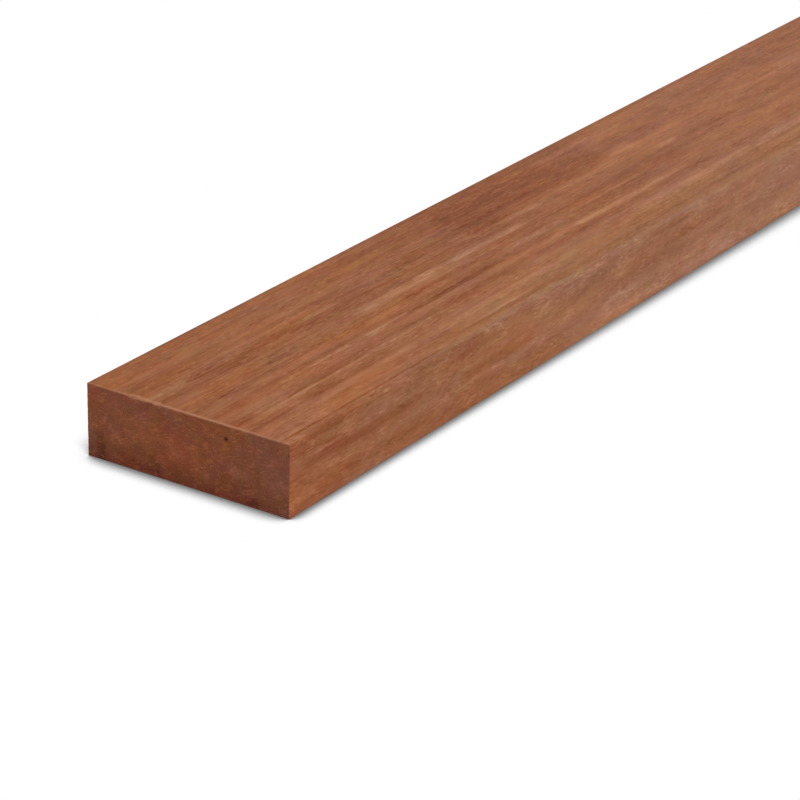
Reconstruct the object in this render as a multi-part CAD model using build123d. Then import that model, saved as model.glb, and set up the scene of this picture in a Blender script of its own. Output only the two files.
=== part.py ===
from build123d import *
import os

# Planed hardwood beam, one length of straight stock cut square at both ends.
# It lies on a wide face. X runs along the grain, Y across the wide faces, Z up.
# The origin is the middle of the bottom face. Sizes are in millimetres.

# Section, as the planer leaves it
beam_width = 140.0
beam_thickness = 45.0
arris_radius = 0.5  # the four long arrises are eased just enough that they don't splinter

# Crosscut
beam_length = 2450.0
end_bevel = 0.3  # the loose fibres round each sawn end are rubbed off


def planed_section():
    """The section across the grain, standing on the floor, with its four corners eased."""
    outline = RectangleRounded(beam_width, beam_thickness, arris_radius)
    return Plane.YZ * Pos(0, beam_thickness / 2) * outline


def sawn_blank():
    """The planed section run along the grain and cut off square, half of it each side of the middle."""
    return extrude(planed_section(), amount=beam_length / 2, both=True)


def end_edges(blank):
    """The edges that the saw leaves round the two end faces."""
    ends = blank.faces().filter_by(Axis.X)
    return ends.edges()


def make_beam():
    blank = sawn_blank()
    return chamfer(end_edges(blank), end_bevel)


parts = {"beam": make_beam()}

os.makedirs("parts", exist_ok=True)
for node, shape in parts.items():
    export_step(shape, f"parts/{node}.step")
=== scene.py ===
# %% [markdown]
# # A planed hardwood beam
#
# The real thing is one length of tropical hardwood, planed on its four long faces and crosscut with a
# saw. The packed CAD beam gives the size and the place. What it lacks is everything that says "wood": the
# streaks of the grain, the pores, the dull sawn end and the small chips that the saw tears out of its
# edge.
#
# The beam could keep its CAD mesh and only get a material. That mesh is a few large flat faces, though,
# and torn fibres and a ragged end need points to move. So a finer mesh takes its place, on the same
# measures.

# %% Load the packed beam and measure it
from math import cos, degrees, pi, radians, sin

import bmesh
import bpy
import numpy as np
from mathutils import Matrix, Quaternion, Vector, noise


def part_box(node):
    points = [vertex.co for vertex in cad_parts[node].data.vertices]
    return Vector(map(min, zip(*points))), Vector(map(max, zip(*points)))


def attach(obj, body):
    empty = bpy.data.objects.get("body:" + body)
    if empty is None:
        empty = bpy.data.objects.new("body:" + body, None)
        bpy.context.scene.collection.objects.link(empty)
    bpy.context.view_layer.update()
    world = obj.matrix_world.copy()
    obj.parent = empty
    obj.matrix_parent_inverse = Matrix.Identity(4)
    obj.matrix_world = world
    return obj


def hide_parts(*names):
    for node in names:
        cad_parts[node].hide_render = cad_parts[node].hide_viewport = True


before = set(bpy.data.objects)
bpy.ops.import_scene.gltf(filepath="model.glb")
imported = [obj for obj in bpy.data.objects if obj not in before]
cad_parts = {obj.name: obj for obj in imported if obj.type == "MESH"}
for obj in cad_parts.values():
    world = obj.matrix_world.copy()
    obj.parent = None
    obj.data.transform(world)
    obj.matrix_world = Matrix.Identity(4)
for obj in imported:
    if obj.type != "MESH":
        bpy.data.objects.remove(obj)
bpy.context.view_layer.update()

MM = 0.001
low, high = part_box("beam")
length, width, thickness = high - low
print(f"the beam is {length / MM:.0f} x {width / MM:.0f} x {thickness / MM:.0f} mm")

# %% [markdown]
# ## The camera
#
# The photograph was taken with a long lens from the near end, a little to the side, looking down. A long
# lens keeps the sides of the beam nearly parallel. The place of the camera was worked out from the four
# corners of the sawn end and the two long edges, and it is written here from the beam's near corner, so
# that it follows the beam if the size changes.

# %% Set up the camera
LENS = 140.2  # on a 36 mm wide sensor
HEADING = 33.154  # degrees off the beam's length
TILT = 24.101  # degrees below the horizon
ROLL = 1.345
NEAR_CORNER = Vector((low.x, high.y, low.z))
CAMERA_FROM_CORNER = Vector((-1.2417, -1.0214, 0.7538))


def aimed(heading, tilt, roll):
    """The turn of a camera that looks along this heading, this far down, and leans by roll."""
    flat = Vector((cos(radians(heading)), sin(radians(heading)), 0))
    view = flat * cos(radians(tilt)) - Vector((0, 0, sin(radians(tilt))))
    return view.to_track_quat("-Z", "Y") @ Quaternion((0, 0, 1), radians(roll))


camera = bpy.data.objects.new("camera", bpy.data.cameras.new("camera"))
camera.data.lens = LENS
camera.data.sensor_width = 36
camera.data.clip_end = 100
camera.location = NEAR_CORNER + CAMERA_FROM_CORNER
camera.rotation_mode = "QUATERNION"
camera.rotation_quaternion = aimed(HEADING, TILT, ROLL)
bpy.context.scene.collection.objects.link(camera)
bpy.context.scene.camera = camera
bpy.context.scene.view_settings.view_transform = "Standard"
print("the camera stands", round(CAMERA_FROM_CORNER.length, 2), "m from the near corner")

# %% [markdown]
# ## A wrapper for material nodes
#
# A material is a graph of nodes. Written one node at a time, even a short sum takes ten lines. So one
# small class holds a socket and answers to plus, minus, times and divide by adding the node that does it.
# Values get Math nodes. Colours and vectors get Vector Math, because a Math node would turn them grey.


# %% Wrap a socket
class Wire:
    """One output in a material's graph, or only the graph where socket is None."""

    def __init__(self, tree, socket=None):
        self.tree = tree
        self.socket = socket

    def node(self, kind, settings=None, sockets=None, out=0):
        """Adds any node: its settings are set first, then its sockets get values or wires."""
        made = self.tree.nodes.new(kind)
        for name, value in (settings or {}).items():
            setattr(made, name, value)
        for name, value in (sockets or {}).items():
            if isinstance(value, Wire):
                self.tree.links.new(value.socket, made.inputs[name])
            else:
                made.inputs[name].default_value = value
        return Wire(self.tree, made.outputs[out])

    def is_value(self):
        return self.socket.type == "VALUE"

    def calculate(self, operation, first, second=0.0):
        """A Math node for values, and a Vector Math node where this wire is a vector or a colour."""
        if self.is_value():
            return self.node("ShaderNodeMath", {"operation": operation}, {0: first, 1: second})
        both = {0: first, 1: second}
        if isinstance(second, (int, float)) or isinstance(second, Wire) and second.is_value():
            if operation == "MULTIPLY":
                return self.node("ShaderNodeVectorMath", {"operation": "SCALE"}, {0: first, "Scale": second})
            both[1] = (second,) * 3 if not isinstance(second, Wire) else second
        return self.node("ShaderNodeVectorMath", {"operation": operation}, both)

    def __add__(self, other):
        return self.calculate("ADD", self, other)

    def __sub__(self, other):
        return self.calculate("SUBTRACT", self, other)

    def __mul__(self, other):
        return self.calculate("MULTIPLY", self, other)

    def __truediv__(self, other):
        return self.calculate("DIVIDE", self, other)

    def __rsub__(self, other):
        return self.calculate("SUBTRACT", other, self)

    def __abs__(self):
        return self.calculate("ABSOLUTE", self)

    __radd__ = __add__
    __rmul__ = __mul__

    def most(self, other):
        return self.calculate("MAXIMUM", self, other)

    def rise(self, start, stop, bottom=0.0, top=1.0):
        """From bottom to top, smoothly, while this value goes from start to stop."""
        sockets = {"Value": self, "From Min": start, "From Max": stop, "To Min": bottom, "To Max": top}
        return self.node("ShaderNodeMapRange", {"interpolation_type": "SMOOTHSTEP"}, sockets)

    def split(self):
        """The three parts of a vector."""
        return [self.node("ShaderNodeSeparateXYZ", None, {0: self}, out) for out in range(3)]

    def join(self, x, y, z):
        return self.node("ShaderNodeCombineXYZ", None, {0: x, 1: y, 2: z})

    def mix(self, first, second):
        """The first colour where this value is 0, the second where it is 1."""
        first, second = (end if isinstance(end, Wire) else (*end, 1) for end in (first, second))
        return self.node("ShaderNodeMix", {"data_type": "RGBA"}, {0: self, 6: first, 7: second}, out=2)

    def tint(self, colour):
        """A colour, as strong as this value."""
        return self.node("ShaderNodeVectorMath", {"operation": "SCALE"}, {0: colour, "Scale": self})

    def near(self, middle, reach):
        """1 about the middle, and smoothly down to 0 where this value is as far off as the reach."""
        return abs(self - middle).rise(reach / 3, reach, 1, 0)

    def within(self, start, stop, soft):
        """1 between start and stop, with soft ends of this length inside them."""
        return self.rise(start, start + soft) * self.rise(stop - soft, stop, 1, 0)

    def other(self, out):
        """Another output of the node that this wire comes from."""
        return Wire(self.tree, self.socket.node.outputs[out])

    def sized(self, reach_along, reach_out, reach_round, seed=0):
        """This place, counted in blotches of these three lengths in mm. Each seed has blotches of its own."""
        counted = self * (1 / reach_along, 1 / reach_out, 1 / reach_round)
        return counted + (seed, 0, 0) if seed else counted

    def noise(self, detail=2.0, rough=0.5):
        """Soft noise in which one unit of this vector is about as wide as one blotch, from about -1 to 1."""
        sockets = {"Vector": self, "Scale": 1.0, "Detail": detail, "Roughness": rough}
        return (self.node("ShaderNodeTexNoise", None, sockets) - 0.5) * 3.0

    def cells(self):
        """How far off the nearest of many loose points is. There is about one in each unit of this vector."""
        return self.node("ShaderNodeTexVoronoi", None, {"Vector": self, "Scale": 1.0}, "Distance")


print("a wire has", len([name for name in vars(Wire) if not name.startswith("__")]), "named methods")

# %% [markdown]
# ## White paper, and soft light
#
# Product photographs of timber are cut out on white, with a soft shadow close to the wood. A white floor
# under plain light gives both. The floor and the sky look pure white to the camera and in reflections,
# which Light Path can tell apart from the light that they give. The floor must still show the shadow. It
# takes it from the Ambient Occlusion node, which knows how much of the sky the beam hides from each spot.
#
# How far that node looks is how wide the shadow is. It looks farthest before the sawn end and behind the
# beam, and a little farther along the beam than beside its near corner.

# %% Make the sky
SKY_LIGHT = 0.56


def white_to_the_eye(graph):
    """1 for what the camera sees directly, in a mirror or through glass, and 0 for light on its way."""
    seen = [graph.node("ShaderNodeLightPath", None, None, f"Is {way} Ray") for way in
            ("Camera", "Glossy", "Transmission")]
    return seen[0].most(seen[1]).most(seen[2])


world = bpy.data.worlds.new("sky")
bpy.context.scene.world = world
world.use_nodes = True
sky = Wire(world.node_tree)
strength = white_to_the_eye(sky).rise(0, 1, SKY_LIGHT, 1.0)
background = world.node_tree.nodes["Background"]
background.inputs["Color"].default_value = (1, 1, 1, 1)
world.node_tree.links.new(strength.socket, background.inputs["Strength"])
print("the sky lights the wood at", SKY_LIGHT, "of white")

# %% Hang the lamps
LAMPS = {  # name: (direction that the light comes from, strength, how soft in degrees)
    "key": ((0.10, -0.62, 0.78), 1.95, 50),
}
for name, (source, power, softness) in LAMPS.items():
    lamp = bpy.data.objects.new(name, bpy.data.lights.new(name, "SUN"))
    lamp.data.energy = power
    lamp.data.angle = radians(softness)
    lamp.rotation_mode = "QUATERNION"
    lamp.rotation_quaternion = Vector(source).to_track_quat("Z", "Y")
    bpy.context.scene.collection.objects.link(lamp)
print("lamps:", ", ".join(LAMPS))

# %% Lay the paper
FLOOR_REACH = 60.0
PAPER_COLOUR = (0.75, 0.75, 0.75, 1)
END_SHADOW = 20.5 * MM  # how far the shadow spreads before the sawn end
SIDE_SHADOW = 13.7 * MM
FAR_EXTRA = 10.5 * MM  # and how much more at this distance along the beam
FAR_OFF = 0.9
BACK_EXTRA = 24 * MM
DARKEST = 0.17
SHADED_SKY, CLEAR_SKY = 0.47, 0.86  # shares of open sky at which the paper is darkest, and white

floor_mesh = bpy.data.meshes.new("paper")
corners = [(sx * FLOOR_REACH, sy * FLOOR_REACH, low.z) for sx, sy in ((-1, -1), (1, -1), (1, 1), (-1, 1))]
floor_mesh.from_pydata(corners, [], [(0, 1, 2, 3)])
floor = bpy.data.objects.new("paper", floor_mesh)
bpy.context.scene.collection.objects.link(floor)

paper = bpy.data.materials.new("white_paper")
paper.use_nodes = True
floor_mesh.materials.append(paper)
graph = Wire(paper.node_tree)
x, y, _ = graph.node("ShaderNodeTexCoord", None, None, "Object").split()
behind = y.rise(high.y, high.y + 4 * MM) * x.rise(low.x, low.x + 10 * MM)
shadow_reach = x.rise(low.x - 10 * MM, low.x + 10 * MM, END_SHADOW, SIDE_SHADOW)
shadow_reach = shadow_reach + x.rise(low.x, low.x + FAR_OFF, 0, FAR_EXTRA) + behind * BACK_EXTRA
open_sky = graph.node("ShaderNodeAmbientOcclusion", {"samples": 16}, {"Distance": shadow_reach}, "AO")
shade = open_sky.rise(SHADED_SKY, CLEAR_SKY, DARKEST, 1.0)
seen_white = graph.node("ShaderNodeEmission", None, {"Strength": shade})
lit_white = graph.node("ShaderNodeBsdfDiffuse", None, {"Color": PAPER_COLOUR})
both = graph.node("ShaderNodeMixShader", None, {0: white_to_the_eye(graph), 1: lit_white, 2: seen_white})
paper.node_tree.links.new(both.socket, paper.node_tree.nodes["Material Output"].inputs["Surface"])
print(f"the shadow spreads {SIDE_SHADOW / MM:.0f} to {END_SHADOW / MM:.0f} mm from the wood")

# %% [markdown]
# ## The shape of the stock
#
# Planed stock is a plain section run along the grain, with the four long arrises eased. What makes it
# look cut from a tree is small: grain that stands a few hundredths of a millimetre proud, an end that the
# saw left rough, and an end arris with fibres torn out of it. A displacement modifier could do that, but
# the chips sit at known places. So the points are laid out with numpy and moved by short functions, each
# of which is one thing that a tool does to the wood.

# %% Lay out the grid lines
ARRIS = 0.5 * MM
CELL = 1.3 * MM
FIRST_STEP = 0.3 * MM
LONGEST_STEP = 14 * MM
GROWTH = 1.22  # each step inwards from a sawn end is this much longer than the last


def lines_across(start, stop):
    """Grid lines over a face: close together round the two arrises, even between them."""
    inner = np.linspace(start + ARRIS, stop - ARRIS, round((stop - start - 2 * ARRIS) / CELL) + 1)
    close = np.array([0, 1 / 3, 2 / 3]) * ARRIS
    return np.concatenate([start + close, inner, (stop - close)[::-1]])


def lines_along():
    """Rings along the grain: close together at the sawn ends, where the wood is torn, and longer inwards."""
    depth = [0.0]
    step = FIRST_STEP
    while depth[-1] + step < length / 2:
        depth.append(depth[-1] + step)
        step = min(step * GROWTH, LONGEST_STEP)
    depth = np.array(depth)
    return np.concatenate([low.x + depth, [low.x + length / 2], (high.x - depth)[::-1]])


ys = lines_across(low.y, high.y)
zs = lines_across(low.z, high.z)
xs = lines_along()
print(len(xs), "rings of", 2 * (len(ys) + len(zs) - 2), "points")

# %% Round the section and unroll it


def round_the_arrises(y, z):
    """Moves the points of a square-cornered grid so that its corners are rounded, as by the planer."""
    core_y = np.clip(y, low.y + ARRIS, high.y - ARRIS)
    core_z = np.clip(z, low.z + ARRIS, high.z - ARRIS)
    out_y, out_z = y - core_y, z - core_z
    reach = np.hypot(out_y, out_z)
    pull = np.maximum(abs(out_y), abs(out_z)) / np.where(reach > 0, reach, 1)
    return core_y + out_y * pull, core_z + out_z * pull


def round_the_edge(grid_y, grid_z):
    """Indices of the grid's outer points, once round, from the back bottom arris."""
    last_y, last_z = grid_y - 1, grid_z - 1
    top = [(j, last_z) for j in range(last_y, 0, -1)]
    front = [(0, k) for k in range(last_z, 0, -1)]
    bottom = [(j, 0) for j in range(last_y)]
    back = [(last_y, k) for k in range(last_z)]
    return back + top + front + bottom


rim = round_the_edge(len(ys), len(zs))
rim_y, rim_z = round_the_arrises(ys[[j for j, k in rim]], zs[[k for j, k in rim]])
steps = np.hypot(np.diff(np.append(rim_y, rim_y[0])), np.diff(np.append(rim_z, rim_z[0])))
unrolled = np.concatenate([[0], np.cumsum(steps)])
print(f"once round the section is {unrolled[-1] / MM:.1f} mm")

# %% Collect points, faces and their places on the map
MARGIN = 0.004
ROUND_SHARE = 0.79  # of the map's height goes to the long faces, and the rest to the two ends


def tube():
    """Points and faces of the four long faces, with the map's place for each corner of a face."""
    x = np.repeat(xs, len(rim))
    points = np.stack([x, np.tile(rim_y, len(xs)), np.tile(rim_z, len(xs))], 1)
    ring, place = np.meshgrid(np.arange(len(xs) - 1), np.arange(len(rim)), indexing="ij")
    ring, place = ring.ravel(), place.ravel()
    faces, uvs = [], []
    for down, on in ((0, 0), (1, 0), (1, 1), (0, 1)):
        faces.append((ring + down) * len(rim) + (place + on) % len(rim))
        u = (xs[ring + down] - low.x) / length
        v = unrolled[place + on] / unrolled[-1] * ROUND_SHARE
        uvs.append(np.stack([MARGIN + (1 - 2 * MARGIN) * u, MARGIN + v], 1))
    return points, np.stack(faces, 1), np.stack(uvs, 1)


def cap(first_point, ring_start, x, column):
    """Points and faces of one sawn end, joined to the ring of the long faces that starts at ring_start."""
    grid_y, grid_z = round_the_arrises(*np.meshgrid(ys, zs, indexing="ij"))
    inside = [(j, k) for j in range(1, len(ys) - 1) for k in range(1, len(zs) - 1)]
    points = np.array([(x, grid_y[at], grid_z[at]) for at in inside])
    number = {at: first_point + n for n, at in enumerate(inside)}
    number |= {at: ring_start + n for n, at in enumerate(rim)}
    squares = [[(j, k), (j + 1, k), (j + 1, k + 1), (j, k + 1)]
               for j in range(len(ys) - 1) for k in range(len(zs) - 1)]
    faces = np.array([[number[at] for at in square] for square in squares])
    across = [[(ys[j] - low.y) / width for j, k in square] for square in squares]
    up = [[(zs[k] - low.z) / thickness for j, k in square] for square in squares]
    u = (column + MARGIN + (1 - 2 * MARGIN) * np.array(across)) / 2
    v = ROUND_SHARE + 3 * MARGIN + (1 - ROUND_SHARE - 4 * MARGIN) * np.array(up)
    return points, faces, np.stack([u, v], 2)


points, faces, uvs = tube()
near = cap(len(points), 0, low.x, column=0)
far = cap(len(points) + len(near[0]), (len(xs) - 1) * len(rim), high.x, column=1)
points = np.concatenate([points, near[0], far[0]])
faces = np.concatenate([faces, near[1], far[1]])
uvs = np.concatenate([uvs, near[2], far[2]])
print(len(points), "points and", len(faces), "faces")

# %% [markdown]
# ## What the tools did to the wood
#
# Three things are moved, all of them inwards, so that the beam never grows past its section. The hard and
# soft layers of the grain are planed to slightly different heights. The sawn ends are uneven, with one
# deep pit. The end arrises are knocked off unevenly, and here and there a chip is gone.

# %% Name what the tools leave behind
PROUD_GRAIN = 0.04 * MM
SAW_ROUGHNESS = 0.16 * MM
SAW_LINES = 0.03 * MM
SAW_PITCH = 3.1 * MM
SAW_AXLE = (-0.05, 0.32)  # across and up, in metres
END_ARRIS = 0.4 * MM
CHIPS = {  # on the top arris of the near end: place across, half width, depth, in mm
    "wide": (36.5, 4.5, 0.8),
    "beside": (30.0, 2.5, 0.6),
    "small": (20.8, 2.5, 0.7),
    "corner": (-64.0, 2.0, 0.6),
}
PIT = (-27.0, 36.7, 1.2, 1.2)  # across, up, radius and depth, in mm, on the near end
ON_A_FACE = 0.1 * MM  # a point this close to a long face is moved with it
print(len(CHIPS), "chips and a pit of", PIT[3], "mm")

# %% Write one function for each measure and tool


def wavy(points, along, across, seed=0.0):
    """Noise from -1 to 1 at each point, with blotches of this length and width in mm."""
    scaled = points / MM / (along, across, across) + seed
    return np.array([noise.noise(Vector(place)) for place in scaled])


def knock_off(first, second, size):
    """Pushes points that lie outside a chamfer of this size back onto it. Both distances grow alike."""
    over = np.clip(size - first - second, 0, None) / 2
    first += over
    second += over


def distances(points):
    """How deep each point lies behind the nearer end, the two edges, the bottom and the top."""
    depth = np.minimum(points[:, 0] - low.x, high.x - points[:, 0])
    return depth, points[:, 1] - low.y, high.y - points[:, 1], points[:, 2] - low.z, high.z - points[:, 2]


def chip_depth(y):
    """How much more of the near end's top arris is gone at this place across."""
    gone = np.zeros(len(y))
    for place, half, depth in CHIPS.values():
        gone += depth * MM * np.clip(1 - ((y / MM - place) / half) ** 2, 0, 1)
    return gone


is_near = points[:, 0] < 0
depth, front, back, bottom, top = distances(points)
print(f"the deepest chip is {chip_depth(np.array([CHIPS['wide'][0] * MM]))[0] / MM:.1f} mm")

# %% Saw the ends
on_end = depth < 1e-6
saw_arc = np.hypot(points[:, 1] - SAW_AXLE[0], points[:, 2] - SAW_AXLE[1]) / SAW_PITCH
rough = SAW_ROUGHNESS * (0.5 + 0.5 * wavy(points, along=5, across=2.2, seed=7.0))
rough += SAW_LINES * (1 + np.sin(2 * pi * saw_arc))
from_pit = np.hypot(points[:, 1] / MM - PIT[0], points[:, 2] / MM - PIT[1]) / PIT[2]
rough += PIT[3] * MM * np.clip(1 - from_pit**2, 0, 1) * is_near
depth[on_end] += rough[on_end]
print(on_end.sum(), "points lie on the sawn ends, up to", round(rough[on_end].max() / MM, 2), "mm deep")

# %% Plane the faces and knock the edges off
proud = PROUD_GRAIN * (0.5 + 0.5 * wavy(points, along=90, across=2.6))
ragged = END_ARRIS * (1 + 0.5 * wavy(points, along=3, across=2.0, seed=3.0))
for face in (front, back, bottom, top):
    face += np.where(face < ON_A_FACE, proud, 0)
    knock_off(depth, face, ragged + (chip_depth(points[:, 1]) * is_near if face is top else 0))

points[:, 0] = np.where(is_near, low.x + depth, high.x - depth)
points[:, 1] = np.where(front < back, low.y + front, high.y - back)
points[:, 2] = np.where(bottom < top, low.z + bottom, high.z - top)
print("the beam now spans", (np.ptp(points, axis=0) / MM).round(2), "mm")

# %% Make the mesh
mesh = bpy.data.meshes.new("hardwood_beam")
mesh.from_pydata(points.tolist(), [], faces.tolist())
layout = mesh.uv_layers.new(name="OFBake")
layout.uv.foreach_set("vector", uvs.astype(np.float32).ravel())

shaping = bmesh.new()
shaping.from_mesh(mesh)
bmesh.ops.recalc_face_normals(shaping, faces=shaping.faces)
shaping.to_mesh(mesh)
shaping.free()
mesh.shade_smooth()

beam = bpy.data.objects.new("hardwood_beam", mesh)
bpy.context.scene.collection.objects.link(beam)
print(sum(len(face.vertices) - 2 for face in mesh.polygons), "triangles")

# %% [markdown]
# ## The grain, measured in millimetres
#
# On the real beam the figure isn't printed on the faces. It is inside the wood, and the planer and the
# saw cut through it. An image for each face would have to be matched at every arris. Here the colour is
# worked out from each point's place in the block, so that the faces, the arrises and the ends agree by
# themselves.
#
# Two directions matter besides the length. The rays run from the middle of the log outwards, and the
# growth layers lie square to them. In this beam the rays run across the wide face, and lean a little.

# %% Find each point's place in the wood
RAY_LEAN = radians(17)

wood = bpy.data.materials.new("planed_hardwood")
wood.use_nodes = True
mesh.materials.append(wood)
block = Wire(wood.node_tree).node("ShaderNodeTexCoord", None, None, "Object") / MM
along, across, up = block.split()

wander = block.sized(210, 60, 60).noise(1) * 1.8 + block.sized(30, 18, 18).noise(1) * 0.3
drifted = across + wander
ray = drifted * cos(RAY_LEAN) - up * sin(RAY_LEAN)
layer = drifted * sin(RAY_LEAN) + up * cos(RAY_LEAN)
grain = block.join(along, ray, layer)
print("the rays lean", round(degrees(RAY_LEAN)), "degrees off the wide face")

# %% [markdown]
# ## Streaks
#
# The growth layers of this hardwood differ in colour, from deep reddish brown to a pale pinkish tan. Each
# one is a streak on a long face. Noise that is stretched along the grain makes them, at many sizes: broad
# bands, stripes as wide as a pencil, fine lines, and threads and fibres of a millimetre. A mottle lies
# over them, because the grain of such wood leans to and fro along its length.
#
# The threads and fibres are kept as a sum of their own. The surface relief uses it too, as fibres stand
# proud of the planed face and bands of colour don't.

# %% Lay the streaks
STREAKS = {  # how long, how far out along the rays, how far round the layer, in mm; strength; seed
    "bands": (520, 24, 70, 0.18, 3.1),
    "stripes": (230, 7.5, 30, 0.20, 17.4),
    "lines": (70, 2.6, 9, 0.13, 31.7),
    "mottle": (24, 8, 8, 0.18, 97.2),
}
FIBRES = {
    "threads": (24, 1.1, 3, 0.10, 53.9),
    "fibres": (6, 1.1, 1.6, 0.21, 71.3),
}


def streaks(table):
    """Adds up stretched noises."""
    total = 0
    for reach_along, reach_out, reach_round, strength, seed in table.values():
        total = total + grain.sized(reach_along, reach_out, reach_round, seed).noise() * strength
    return total


busy = grain.sized(90, 7, 12, seed=39).noise().rise(-0.4, 0.4, 0.5, 1.4)  # some rows have stronger fibres
fine = streaks(FIBRES) * busy
tone = streaks(STREAKS) + fine
print(len(STREAKS) + len(FIBRES), "sizes of streak")

# %% [markdown]
# ## Marks that this beam has
#
# Noise gives a beam of this kind, but not this beam. Some marks catch the eye: a pale ribbon in the
# middle of the wide face, thin dark lines near the end, a honey coloured band along the front. They are
# listed one by one, as a joiner would describe them: from here to there along the face, this far across
# it, this wide. Their ends are torn by a noise of thin dashes, so that no mark stops at a straight line.

# %% Place the marks on the wide face
TOP_LIGHTS = {  # from the near end: start and stop; from the back arris: middle and half width; strength
    "pale ribbon": (170, 262, 64.8, 5.4, 0.36),
    "ribbon's tail": (235, 370, 64.3, 3.6, 0.26),
    "pale thread": (56, 205, 87.2, 1.6, 0.22),
    "thread's knot": (141, 174, 88.5, 2.8, 0.34),
    "front thread": (188, 284, 127.0, 1.7, 0.22),
    "thread by the dark line": (22, 192, 104.0, 1.7, 0.10),
    "pink fleck": (136, 194, 45.0, 2.6, 0.25),
    "near pink": (-60, 46, 44.0, 4.0, 0.24),
    "front light": (192, 348, 117, 4.4, 0.12),
    "light before the far line": (303, 398, 82, 4.0, 0.19),
    "far line": (375, 497, 78.2, 1.7, 0.11),
    "far pink line": (375, 526, 94.3, 3.0, 0.28),
    "far spot": (530, 574, 62, 4.0, 0.30),
    "far band": (400, 760, 112.5, 5.5, 0.17),
    "front edge light": (245, 474, 135, 3.4, 0.11),
    "first cloud": (364, 404, 53, 3.4, 0.20),
    "second cloud": (444, 480, 53, 3.4, 0.13),
    "far blush": (452, 620, 16, 9.0, 0.08),
    "far pink cloud": (498, 548, 43, 6.0, 0.12),
    "honey corner": (8, 62, 99, 13.0, 0.09),
    "front half": (-200, 900, 122, 38.0, 0.07),
    "near back half": (-160, 340, 50, 32.0, 0.05),
}
TOP_SHADES = {
    "dark line": (-80, 134, 101.8, 1.4, -0.17),
    "dark patch": (-80, 24, 99.5, 3.2, -0.14),
    "second dark line": (-80, 50, 113.2, 1.7, -0.13),
    "second dark line again": (54, 130, 113.3, 2.2, -0.12),
    "third dark line": (-90, 168, 134, 1.4, -0.19),
    "dashes behind the ribbon": (178, 274, 51.6, 1.5, -0.10),
    "near dashes": (28, 86, 46.0, 1.3, -0.16),
    "shade before the ribbon": (208, 298, 76, 4.0, -0.16),
    "dark band": (280, 560, 76, 13.0, -0.11),
    "red rows": (314, 388, 47.3, 3.8, -0.16),
    "far rows": (432, 500, 45.5, 4.0, -0.11),
    "thin rows": (298, 428, 36.5, 1.6, -0.13),
    "far dot": (488, 512, 126, 2.6, -0.20),
    "red knot": (524, 558, 101, 3.6, -0.24),
    "long dark line": (190, 540, 100.5, 5.5, -0.08),
    "second long line": (190, 308, 88.8, 2.4, -0.20),
    "honey rows": (322, 478, 128, 1.8, -0.13),
    "red band": (56, 204, 123.6, 4.0, -0.10),
    "dark hollow": (320, 520, 26, 28.0, -0.15),
    "back rim": (280, 900, 1.5, 3.2, -0.10),
}
print(len(TOP_LIGHTS), "light and", len(TOP_SHADES), "dark marks on the wide face")

# %% Add up the marks


def marks(table, lengthwise, crosswise, soft):
    """Adds up the marks of one face. Lengthwise their ends are soft over this length."""
    total = 0
    for start, stop, middle, half, strength in table.values():
        place = lengthwise.within(start, stop, soft) * crosswise.near(middle, half)
        total = total + place * strength
    return total


TORN_BY = 14  # mm that a mark's end is drawn out or in
DASHED_BY = 1.3  # how strongly the dashes break up a dark mark
MARKED_DEPTH, CLEAN_DEPTH = 3, 7  # mm: how deep a mark goes whole, and where it is gone
half_length, half_width, top_height = (size / MM for size in (length / 2, width / 2, thickness))
dashes = block.sized(7, 1.2, 1.2, seed=5).noise()
from_near_end = along + half_length
torn_place = from_near_end + dashes * TORN_BY
from_back = half_width - drifted
near_top = up.rise(top_height - CLEAN_DEPTH, top_height - MARKED_DEPTH)
lights = marks(TOP_LIGHTS, torn_place, from_back, soft=18)
shades = marks(TOP_SHADES, torn_place, from_back, soft=18) * (dashes * DASHED_BY + 1)
marked = (lights + shades) * near_top
print("the marks go", CLEAN_DEPTH, "mm into the wood")

# %% Place the marks on the narrow face
SIDE_MARKS = {  # from the near end: start and stop; down from the top: middle and half height; strength
    "red strip": (-60, 72, 2.4, 3.6, -0.14),
    "dark stripe": (4, 134, 18.6, 3.6, -0.10),
    "slanting shade": (170, 260, 23, 5.0, -0.13),
    "upper edge": (74, 240, 4, 4.0, 0.03),
    "knot of grain": (168, 218, 5, 4.0, -0.11),
    "low red": (20, 74, 37, 7.0, -0.11),
    "low shade": (88, 300, 38, 11.0, -0.10),
    "pale dash": (16, 46, 13.6, 1.2, 0.20),
    "dark dash over it": (28, 54, 11.6, 1.0, -0.20),
    "dark dash under it": (30, 60, 15.6, 1.0, -0.18),
    "dark dash": (382, 454, 2.5, 3.0, -0.17),
    "far shade": (416, 456, 12, 6.0, -0.12),
    "upper light": (56, 130, 9, 4.5, 0.08),
    "low light": (330, 640, 36, 10.0, 0.14),
    "pale smear": (494, 514, 39, 5.0, 0.22),
}
from_top = top_height - up + wander * 0.8
near_front = across.rise(MARKED_DEPTH - half_width, CLEAN_DEPTH - half_width, 1, 0)
marked = marked + marks(SIDE_MARKS, torn_place, from_top, soft=12) * near_front
tone = tone * (1 - near_front * 0.25)  # the narrow face shows its layers flat on, so they differ less
print(len(SIDE_MARKS), "marks on the narrow face")

# %% [markdown]
# ## Pores, rays and curls
#
# The wood's vessels are cut open as dark dashes on a long face, and as dots on the end. The rays are thin
# sheets of pale cells, and where the grain curls, its fibres catch the light as short pale squiggles.
# Pores and rays are loose points with a long or a flat blob round each, cut by the faces. A squiggle is a
# line along which a noise passes through nought, and a second noise lets only a few of them through.

# %% Strew the pores and the rays
PORE_SHADE = 0.13
RAY_LIGHT = 0.21
CURL_LIGHT = 0.06
FRONT_RAY_EXTRA = 0.08  # the narrow face cuts the rays and curls so that more of them shows
FRONT_CURL_EXTRA = 0.20

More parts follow.
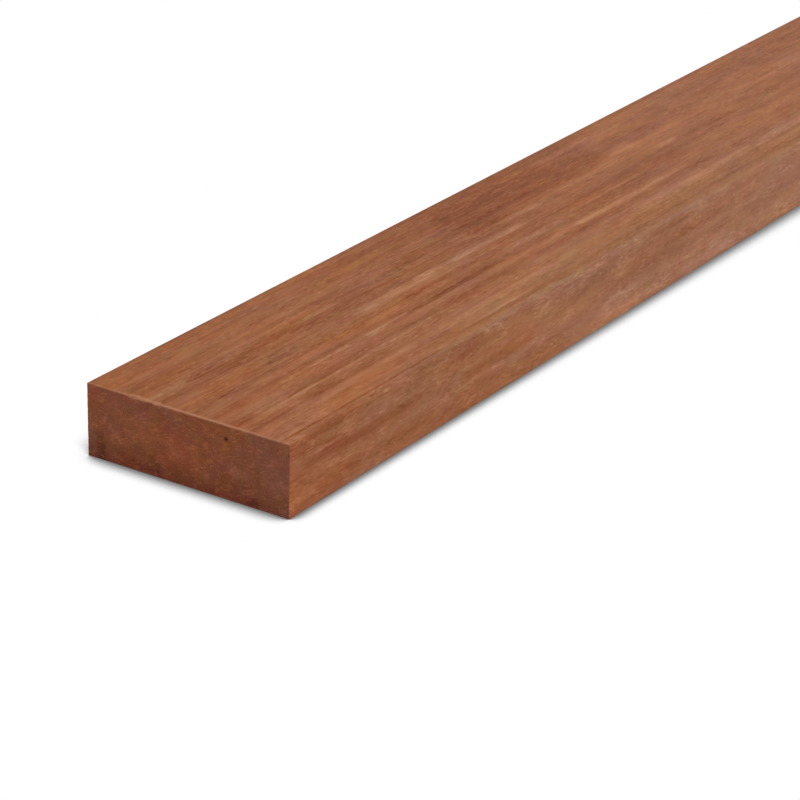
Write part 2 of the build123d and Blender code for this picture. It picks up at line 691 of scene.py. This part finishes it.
pore_cells = grain.sized(5, 1, 1).cells()
pore_luck = pore_cells.other("Color").split()[0]
rows = grain.sized(90, 3, 9, seed=71).noise()
pores = pore_cells.rise(0.14, 0.42, 1, 0) * (pore_luck + rows * 0.7).rise(0.45, 0.95)

ray_cells = grain.sized(6, 4, 0.9).cells()
ray_luck = ray_cells.other("Color").split()[1]
flecks = ray_cells.rise(0.12, 0.45, 1, 0) * ray_luck.rise(0.35, 0.95)
print(f"a pore is {PORE_SHADE:.0%} darker than the wood round it, and a ray is {RAY_LIGHT:.0%} paler")

# %% Curl the fibres and add all three to the tone
curl_places = grain.sized(22, 9, 8, seed=23).noise().rise(0.0, 0.5)
curls = grain.sized(10, 2.2, 2.2, seed=61).noise(1).near(0.1, 0.25) * curl_places

tone = tone - pores * PORE_SHADE
tone = tone + flecks * (near_front * FRONT_RAY_EXTRA + RAY_LIGHT)
tone = tone + curls * (near_front * FRONT_CURL_EXTRA + CURL_LIGHT)
print("the narrow face shows", round(1 + FRONT_CURL_EXTRA / CURL_LIGHT), "times the curl of the wide one")

# %% [markdown]
# ## Colour
#
# A pale streak in this wood isn't the same brown with more light on it. It is chalkier: its blue grows
# more than its red. So the tone doesn't pick a place between two colours. It multiplies the middle brown
# by a ratio for red, for green and for blue, and the marks have chalkier ratios of their own. Slow noises
# lean the hue to grey and to gold in the same way.
#
# The narrow face gets a painted cool tint that stands in for the sky light on it, and toward the sawn end
# it is redder. Away from the end both faces get a painted pale sheen.

# %% Choose the colours
MIDDLE = (0.272, 0.0924, 0.0363)
PALER = (1.0, 1.5, 1.95)
CHALKY = (1.0, 1.9, 3.0)
# painted light: how much cooler the narrow face is made, for the sky light on it
PAINTED_SKY_TINT = (0.02, 0.18, 0.42)
# painted sheen: the paler, greyer colour that the faces fade to away from the near end
PAINTED_SHEEN = (0.52, 0.33, 0.24)
# how much redder the narrow face is toward the sawn end
REDDER_NEAR_CUT = (0.09, -0.08, -0.18)
GREYER = (-0.07, -0.02, 0.20)
GOLDER = (-0.04, 0.08, -0.03)
HONEY_BAND = (126, 15)  # along the front of the wide face: from the back arris, and how far it reaches
HONEY = 0.7


def lean(amount, towards):
    """What to multiply a colour by, so that it leans towards this change as far as the amount."""
    return amount.tint(towards) + (1, 1, 1)


print("a light mark adds", round(CHALKY[2] / CHALKY[0]), "times as much to the blue as to the red")

# %% Colour the wood
greyness = grain.sized(70, 14, 14, seed=93).noise(2)
goldness = grain.sized(30, 8, 8, seed=111).noise(2)
honey = near_top * from_back.near(*HONEY_BAND) * from_near_end.rise(90, 240)
goldness = goldness + honey * HONEY
colour = lean(tone, PALER) * MIDDLE * lean(marked, CHALKY)
greyness = greyness * (1.25 - near_front * 0.32)
# the last factor is a painted tint: the narrow face made cooler, for the sky light that falls on it
colour = colour * lean(greyness, GREYER) * lean(goldness, GOLDER) * lean(near_front, PAINTED_SKY_TINT)
inwards = half_length - abs(along)
# painted sheen: away from the near end the colour fades towards a paler, greyer one
colour = inwards.rise(30, 560, 0.0, 0.08).mix(colour, PAINTED_SHEEN)
near_cut = inwards.rise(1, 9, 0.7, 0) + inwards.rise(10, 170, 0.5, 0)
# the narrow face is redder toward the sawn end
colour = colour * lean(near_front * near_cut, REDDER_NEAR_CUT)
print("the planed faces take", len(wood.node_tree.nodes), "nodes so far")

# %% [markdown]
# ## The sawn end
#
# End grain is a field of open tubes. Light goes in and doesn't come out, and the saw leaves it fuzzy, so
# it looks darker, redder and duller than the planed faces of the same wood. A second material with its
# own face slots could show that, but the change follows the rounding of the arris. The way that a point
# faces tells the two apart: sawn wood faces along the grain. Fuzz, slanting saw lines and pale wisps of
# torn fibre lie on it, and a painted shade makes it darkest near the floor.

# %% List the marks of the sawn end
SAWN = (0.2585, 0.0835, 0.0413)
END_PALER = (1.0, 1.2, 1.15)
END_MARKS = {  # from the back arris: start and stop; down from the top: middle and half height; strength
    "dark stripe": (4.5, 14, 38, 16.0, -0.26),
    "left warmth": (24, 52, 19, 8.0, 0.10),
    "middle warmth": (54, 80, 24, 8.0, 0.12),
    "orange spot": (98, 114, 27, 4.0, 0.16),
    "red shade": (88, 130, 33, 4.0, -0.06),
    "low shade": (28, 52, 37, 8.0, -0.12),
    "low knot": (109, 121, 42, 4.0, -0.20),
    "curved shade": (116, 122, 26, 8.0, -0.12),
}
END_GREYER = (-0.085, 0.04, 0.25)
END_PINKER = (0.03, -0.09, 0.08)
PIT_SHADE = 0.6
print(len(END_MARKS), "marks on the sawn end")

# %% Find the sawn wood and lay its figure
facing = block.node("ShaderNodeTexCoord", None, None, "Normal").split()
sawn = abs(facing[0]).rise(0.75, 0.95)
fuzz = block.sized(0.9, 0.9, 0.9).noise(3)
blotches = grain.sized(9, 9, 7).noise(2)
slanting = grain.sized(3, 4, 1.3, seed=7).noise(2)
wisps = grain.sized(3, 4.6, 2.6, seed=19).noise(1).near(0.0, 0.24)
wisps = wisps * (blotches + slanting).rise(-0.1, 0.5)
# painted shade: the sawn end is darker towards the floor, where less light reaches it
painted_floor_shade = up.rise(2, 16, -0.17, 0.0)
end_figure = ((tone, 0.2), (blotches, 0.12), (slanting, 0.10), (fuzz, 0.20), (wisps, 0.25), (pores, -0.20))
print(len(end_figure), "kinds of figure on the sawn end")

# %% Darken the sawn end
from_back_arris = half_width - across
end_places = (from_back_arris + slanting * 2, top_height - up + slanting * 2)
end_tone = marks(END_MARKS, *end_places, soft=3) + painted_floor_shade
for figure, strength in end_figure:
    end_tone = end_tone + figure * strength
end_grey = block.sized(16, 16, 16, seed=57).noise(1) + from_back_arris.rise(104, 136, -0.15, 0.6)
end_pink = block.sized(10, 10, 10, seed=77).noise(1) + up.rise(0, 8, 0.6, 0.0)
at_near_end = (along * -1).rise(0, 1)
pit = across.near(PIT[0], PIT[2] * 1.3) * up.near(PIT[1], PIT[2] * 1.1) * at_near_end
end_tone = end_tone - pit * PIT_SHADE
sawn_colour = lean(end_tone, END_PALER) * SAWN * lean(end_grey, END_GREYER) * lean(end_pink, END_PINKER)
colour = sawn.mix(colour, sawn_colour)
print("with the sawn end there are", len(wood.node_tree.nodes), "nodes")

# %% [markdown]
# ## The rubbed arris and its painted highlight
#
# Where the sawn end meets the wide face, the fibres are crushed and dry, and the eased edge catches the
# light. Both show as one thin pale line that is painted in: partly crushed fibre, partly a painted highlight.
# It is widest at the chips. How far a point lies from the arris, measured on both faces, gives the line its
# place, and the saw lines make it break up.

# %% Paint its top arris pale, for crushed fibre and a highlight
# the pale of crushed fibre and a painted highlight along the end's top arris
WORN_AND_HIGHLIGHT = (0.43, 0.195, 0.112)
torn = 0
for place, half, depth in CHIPS.values():
    torn = torn + across.near(place, half * 1.3) * depth * at_near_end
from_arris = inwards * 0.5 + (top_height - up) * 1.3 + fuzz * 0.5 + slanting * 0.3 - torn
# painted highlight and rubbed fibre together: where the pale line lies
worn_and_highlight = from_arris.rise(0.5, 1.3, 1, 0) * slanting.rise(-0.9, 0.6, 0.5, 1.1)
worn_and_highlight = worn_and_highlight * from_back_arris.rise(10, 50, 0.3, 0.85) * from_back_arris.rise(98, 136, 1, 0.5)
colour = worn_and_highlight.mix(colour, WORN_AND_HIGHLIGHT)
print("the worn line is widest at", len(CHIPS), "chips")

# %% [markdown]
# ## Relief and sheen
#
# Wood without oil or lacquer hardly shines. From as low as this camera looks, any clear reflection would
# lay a white veil over the colour, so the specular level is close to nought, and the sawn end is duller
# still.
#
# The relief takes the fibres, the pores and the saw's fuzz, and nothing else. There is a reason besides
# the look of it. Cycles holds at most 255 numbers at once for a material, and a Bump node asks for its
# height three times over. A height that drew in the streaks and all the marks would go past that, and the
# beam would render black.

# %% Raise the grain and dull the end
PLANED_ROUGHNESS = 0.52
SAWN_ROUGHNESS = 0.77
SHEEN = 0.03
PROUD_FIBRES = 0.10  # mm
DEEP_PORES = 0.10
DEEP_FUZZ = 0.12
roughness = sawn * (SAWN_ROUGHNESS - PLANED_ROUGHNESS) + PLANED_ROUGHNESS
relief = fine * PROUD_FIBRES - pores * DEEP_PORES + sawn * fuzz * DEEP_FUZZ
bump = block.node("ShaderNodeBump", None, {"Height": relief, "Distance": MM, "Strength": 1.0})

shader = wood.node_tree.nodes["Principled BSDF"]
shader.inputs["Specular IOR Level"].default_value = SHEEN
for socket, wire in (("Base Color", colour), ("Roughness", roughness), ("Normal", bump)):
    wood.node_tree.links.new(wire.socket, shader.inputs[socket])
print("the wood takes", len(wood.node_tree.nodes), "nodes")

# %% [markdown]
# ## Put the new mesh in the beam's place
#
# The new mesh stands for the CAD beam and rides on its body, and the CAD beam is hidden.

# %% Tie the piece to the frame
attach(beam, "root")
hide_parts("beam")
